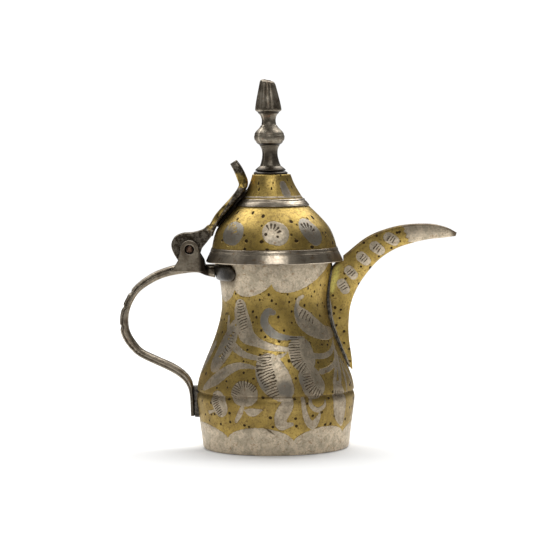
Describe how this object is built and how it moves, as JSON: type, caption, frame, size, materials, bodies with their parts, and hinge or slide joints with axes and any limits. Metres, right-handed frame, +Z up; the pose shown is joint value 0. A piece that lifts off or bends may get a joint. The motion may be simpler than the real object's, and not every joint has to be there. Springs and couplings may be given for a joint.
{
  "type": "dallah coffee pot",
  "caption": "Small waisted coffee pot with a crescent pouring beak, a bow handle and a hinged domed lid with a tall finial.",
  "frame": {"origin": "centre of the underside of the base, on the pot's axis", "axes": "+Z up along the pot's axis, +X towards the beak, handle and lid hinge towards -X"},
  "size_m": [0.1521, 0.0712, 0.1656],
  "materials": {
    "body_sheet": "aged brass sheet with tinned ornament",
    "brass": "aged satin brass",
    "strap_brass": "aged brass, dark at the knuckle",
    "tin": "worn tinning, satin",
    "grey_cast": "handled grey casting",
    "dark_cast": "dark patinated casting",
    "iron": "rusty brown iron",
    "solder": "dull oxidised solder"
  },
  "bodies": {
    "pot": {"body_upper": "body_sheet", "body_lower": "body_sheet", "base_disc": "tin", "spout": "brass", "neck_saddle": "dark_cast", "handle": "grey_cast", "handle_foot_pad": "solder", "hinge_pin": "iron"},
    "lid": {"lid_strap": "strap_brass", "strap_bed": "solder", "lid_dome": "brass", "lid_rim_band": "tin", "lid_ring_band": "tin", "lid_collar": "tin", "finial": "dark_cast", "finial_seat": "dark_cast", "finial_nut": "iron"}
  },
  "joints": [
    {"name": "lid_hinge", "type": "hinge", "parent": "pot", "child": "lid", "pos_m": [-0.0381, 0, 0.0896], "axis": [0, -1, 0], "range_deg": [0, 110]}
  ]
}
